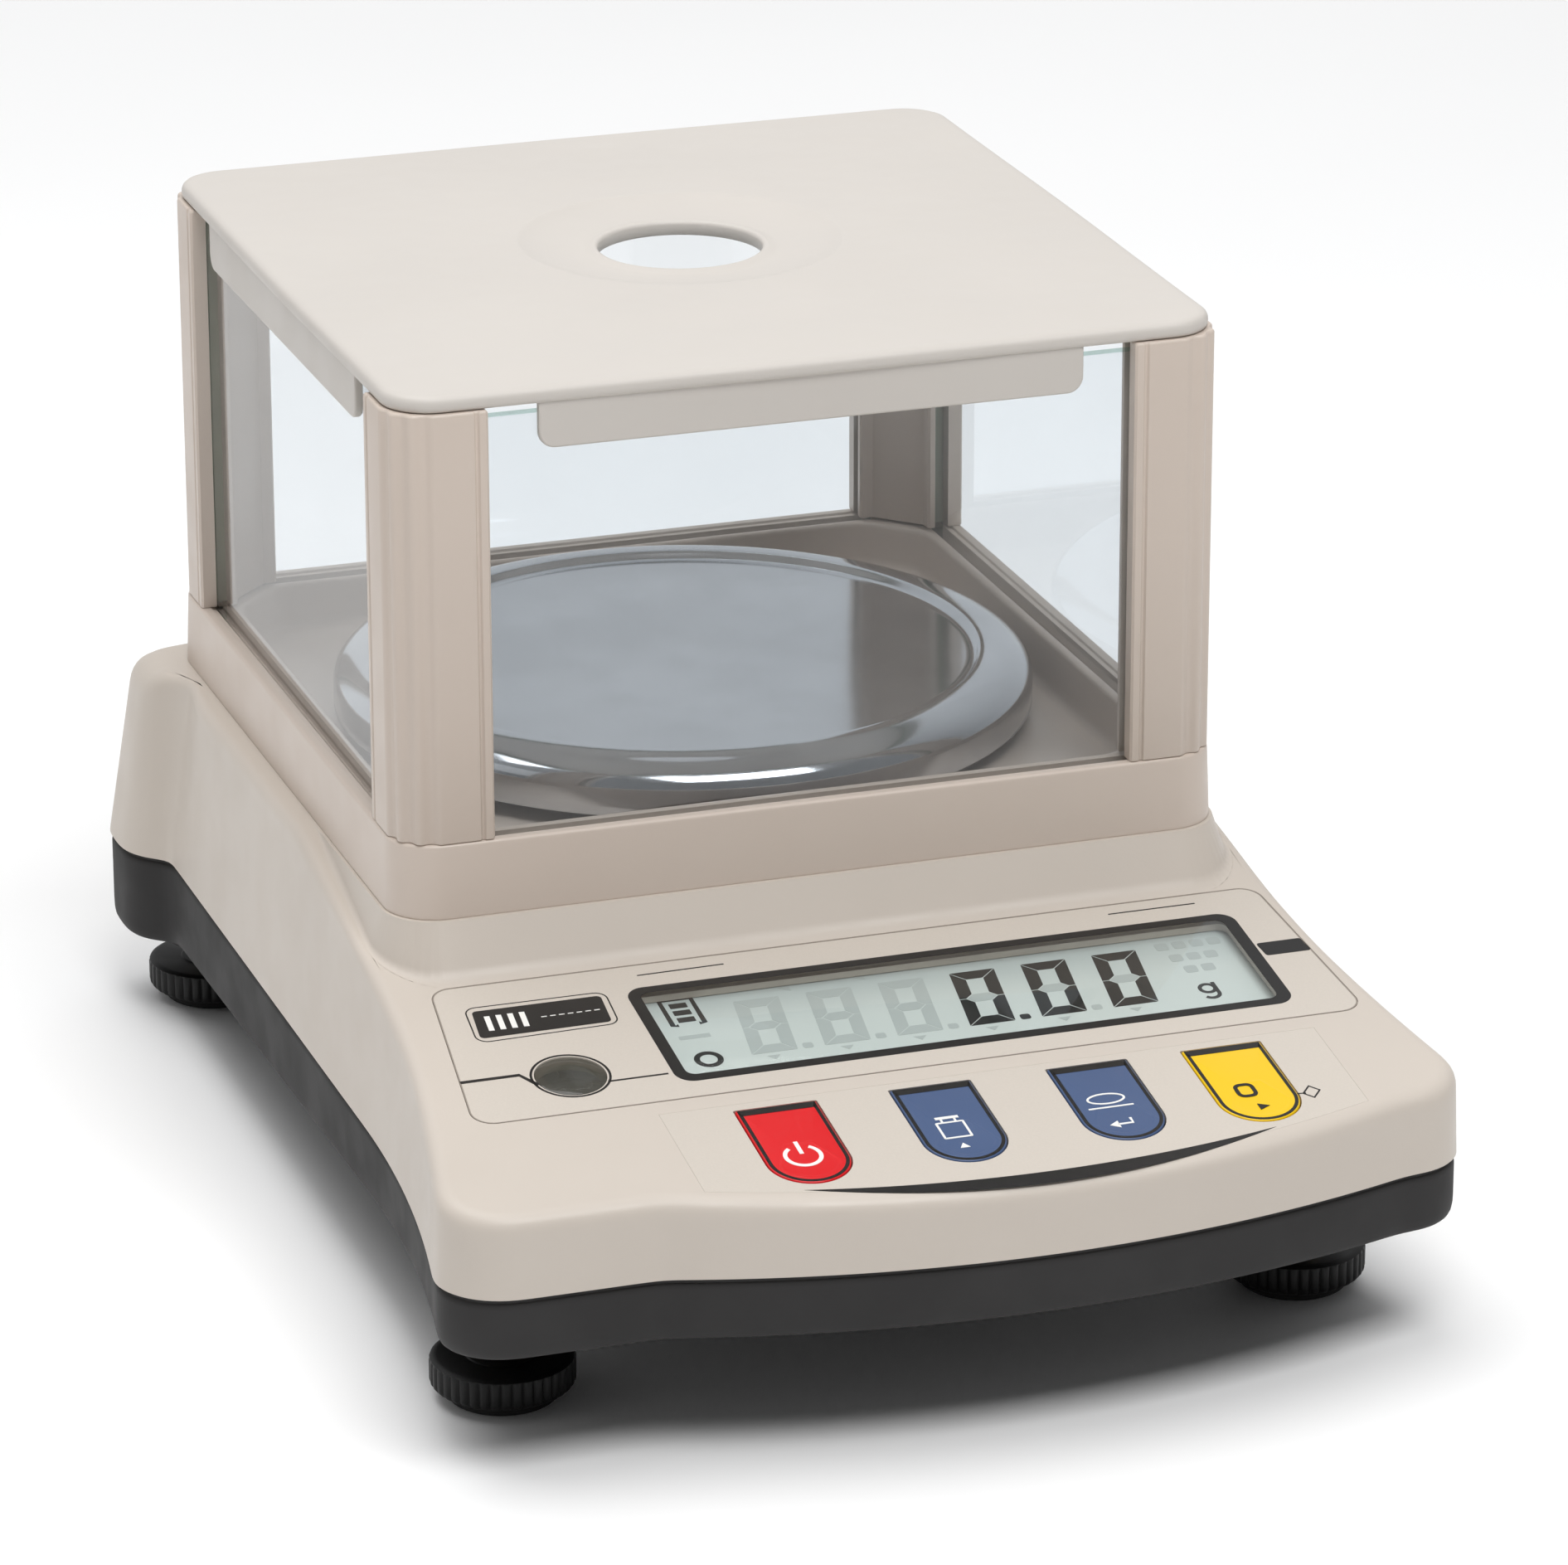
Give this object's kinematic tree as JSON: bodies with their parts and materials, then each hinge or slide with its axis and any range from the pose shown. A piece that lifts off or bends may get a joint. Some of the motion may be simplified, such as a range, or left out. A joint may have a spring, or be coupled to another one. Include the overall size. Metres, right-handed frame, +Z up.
{
  "type": "analytical balance",
  "caption": "Electronic precision balance with a round steel pan inside a square glass draft shield with a lift-off lid, a sloped display and key panel, and screw levelling feet.",
  "frame": {"origin": "on the table under the middle of the body's outline", "axes": "+Z up, +Y towards the rear of the body, so the control panel faces -Y; +X to the user's right"},
  "size_m": [0.185, 0.258, 0.1657],
  "materials": {
    "lid_cream": "satin moulded cream plastic",
    "shield_beige": "satin moulded beige plastic",
    "clear_glass": "clear float glass",
    "housing_cream": "satin moulded cream plastic",
    "tray_charcoal": "fine textured charcoal plastic",
    "zinc_steel": "zinc plated",
    "label_print": "printed polyester sheet, satin",
    "window_acrylic": "clear acrylic",
    "lcd_grey": "grey-green reflective display",
    "board_green": "solder mask",
    "key_red": "satin",
    "key_blue": "satin",
    "key_yellow": "satin",
    "cup_dark": "matt dark grey",
    "vial_clear": "clear tinted fluid",
    "chip_black": "moulded black",
    "cable_grey": "flat cable",
    "cell_aluminium": "milled, clear anodised",
    "support_alloy": "die cast",
    "pan_steel": "polished stainless",
    "battery_wrap": "printed sleeve",
    "contact_nickel": "nickel plated",
    "insert_brass": "machined",
    "foot_rubber": "matt",
    "foot_black": "black moulded, knurled"
  },
  "bodies": {
    "housing": {"post_front_left": "shield_beige", "post_front_right": "shield_beige", "post_rear_left": "shield_beige", "post_rear_right": "shield_beige", "glass_front": "clear_glass", "glass_rear": "clear_glass", "glass_left": "clear_glass", "glass_right": "clear_glass", "shield_base": "shield_beige", "post_screws": "zinc_steel", "top_housing": "housing_cream", "base_tray": "tray_charcoal", "housing_screws": "zinc_steel", "display_label": "label_print", "key_label": "label_print", "display_window": "window_acrylic", "lcd_glass": "lcd_grey", "lcd_board": "board_green", "key_board": "board_green", "key_domes": "zinc_steel", "panel_screws": "zinc_steel", "level_cup": "cup_dark", "level_vial": "vial_clear", "level_bubble": "vial_clear", "main_board": "board_green", "board_parts": "chip_black", "board_screws": "zinc_steel", "ribbon_cable": "cable_grey", "dc_jack": "chip_black", "chassis_plate": "cell_aluminium", "chassis_screws": "zinc_steel", "cell_foot_block": "cell_aluminium", "load_cell": "cell_aluminium", "cell_top_block": "cell_aluminium", "pan_bracket": "cell_aluminium", "cell_screws_fixed": "zinc_steel", "cell_screws_live": "zinc_steel", "overload_stop": "zinc_steel", "battery_cells": "battery_wrap", "battery_contacts": "contact_nickel", "foot_inserts": "insert_brass"},
    "lid": {"lid": "lid_cream"},
    "pan_support": {"pan_support": "support_alloy"},
    "pan": {"pan": "pan_steel"},
    "battery_door": {"battery_door": "tray_charcoal"},
    "key_power": {"key_power": "key_red"},
    "key_cal": {"key_cal": "key_blue"},
    "key_unit": {"key_unit": "key_blue"},
    "key_tare": {"key_tare": "key_yellow"},
    "foot_pad_front_left": {"foot_pad_front_left": "foot_rubber"},
    "foot_knob_front_left": {"foot_knob_front_left": "foot_black"},
    "foot_pad_front_right": {"foot_pad_front_right": "foot_rubber"},
    "foot_knob_front_right": {"foot_knob_front_right": "foot_black"},
    "foot_pad_rear_left": {"foot_pad_rear_left": "foot_rubber"},
    "foot_knob_rear_left": {"foot_knob_rear_left": "foot_black"},
    "foot_pad_rear_right": {"foot_pad_rear_right": "foot_rubber"},
    "foot_knob_rear_right": {"foot_knob_rear_right": "foot_black"}
  },
  "joints": [
    {"name": "lid_lift", "type": "slide", "parent": "housing", "child": "lid", "axis": [0, 0, 1], "range_m": [0, 0.1]},
    {"name": "pan_support_lift", "type": "slide", "parent": "housing", "child": "pan_support", "axis": [0, 0, 1], "range_m": [0, 0.02]},
    {"name": "pan_lift", "type": "slide", "parent": "pan_support", "child": "pan", "axis": [0, 0, 1], "range_m": [0, 0.04]},
    {"name": "battery_door_removal", "type": "slide", "parent": "housing", "child": "battery_door", "axis": [0, 0, -1], "range_m": [0, 0.015]},
    {"name": "key_power_press", "type": "slide", "parent": "housing", "child": "key_power", "axis": [0, 0.1582, -0.9874], "range_m": [0, 0.0005], "stiffness_N_per_m": 1200, "springref_m": -0.0005},
    {"name": "key_cal_press", "type": "slide", "parent": "housing", "child": "key_cal", "axis": [0, 0.1582, -0.9874], "range_m": [0, 0.0005], "stiffness_N_per_m": 1200, "springref_m": -0.0005},
    {"name": "key_unit_press", "type": "slide", "parent": "housing", "child": "key_unit", "axis": [0, 0.1582, -0.9874], "range_m": [0, 0.0005], "stiffness_N_per_m": 1200, "springref_m": -0.0005},
    {"name": "key_tare_press", "type": "slide", "parent": "housing", "child": "key_tare", "axis": [0, 0.1582, -0.9874], "range_m": [0, 0.0005], "stiffness_N_per_m": 1200, "springref_m": -0.0005},
    {"name": "foot_height_front_left", "type": "slide", "parent": "housing", "child": "foot_pad_front_left", "axis": [0, 0, 1], "range_m": [-0.003, 0.0035]},
    {"name": "foot_turn_front_left", "type": "hinge", "parent": "foot_pad_front_left", "child": "foot_knob_front_left", "pos_m": [-0.0734, -0.0814, 0.005], "axis": [0, 0, 1], "range_deg": [-1080, 1260]},
    {"name": "foot_height_front_right", "type": "slide", "parent": "housing", "child": "foot_pad_front_right", "axis": [0, 0, 1], "range_m": [-0.003, 0.0035]},
    {"name": "foot_turn_front_right", "type": "hinge", "parent": "foot_pad_front_right", "child": "foot_knob_front_right", "pos_m": [0.0734, -0.0814, 0.005], "axis": [0, 0, 1], "range_deg": [-1080, 1260]},
    {"name": "foot_height_rear_left", "type": "slide", "parent": "housing", "child": "foot_pad_rear_left", "axis": [0, 0, 1], "range_m": [-0.003, 0.0035]},
    {"name": "foot_turn_rear_left", "type": "hinge", "parent": "foot_pad_rear_left", "child": "foot_knob_rear_left", "pos_m": [-0.0734, 0.1142, 0.005], "axis": [0, 0, 1], "range_deg": [-1080, 1260]},
    {"name": "foot_height_rear_right", "type": "slide", "parent": "housing", "child": "foot_pad_rear_right", "axis": [0, 0, 1], "range_m": [-0.003, 0.0035]},
    {"name": "foot_turn_rear_right", "type": "hinge", "parent": "foot_pad_rear_right", "child": "foot_knob_rear_right", "pos_m": [0.0734, 0.1142, 0.005], "axis": [0, 0, 1], "range_deg": [-1080, 1260]}
  ],
  "couplings": [
    {"joint": "foot_height_front_left", "follows": "foot_turn_front_left", "m_per_rad": 0.00015915},
    {"joint": "foot_height_front_right", "follows": "foot_turn_front_right", "m_per_rad": 0.00015915},
    {"joint": "foot_height_rear_left", "follows": "foot_turn_rear_left", "m_per_rad": 0.00015915},
    {"joint": "foot_height_rear_right", "follows": "foot_turn_rear_right", "m_per_rad": 0.00015915}
  ]
}
